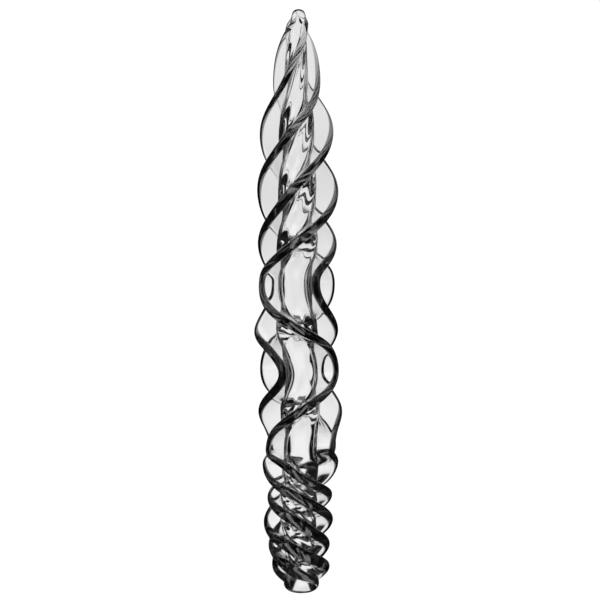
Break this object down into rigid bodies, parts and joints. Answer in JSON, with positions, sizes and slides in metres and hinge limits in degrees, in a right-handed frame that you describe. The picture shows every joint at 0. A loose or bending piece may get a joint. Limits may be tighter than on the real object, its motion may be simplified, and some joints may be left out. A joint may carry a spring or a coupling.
{
  "type": "glass dip pen",
  "caption": "Solid clear glass dip pen with four tall reversing-twist ribs round a drawn core, a slim rounded writing tip and a small gathered bead at the butt.",
  "frame": {"origin": "lowest point of the butt bead, on the pen's axis", "axes": "+Z along the pen from the butt towards the writing tip; -Y is the face shown to a viewer, +X to that viewer's right"},
  "size_m": [0.0224, 0.0226, 0.15],
  "materials": {
    "clear_glass": "polished"
  },
  "bodies": {
    "root": {"core_rod": "clear_glass", "nib_tip": "clear_glass", "butt_bead": "clear_glass", "rib_a": "clear_glass", "rib_b": "clear_glass", "rib_c": "clear_glass", "rib_d": "clear_glass"}
  },
  "joints": []
}
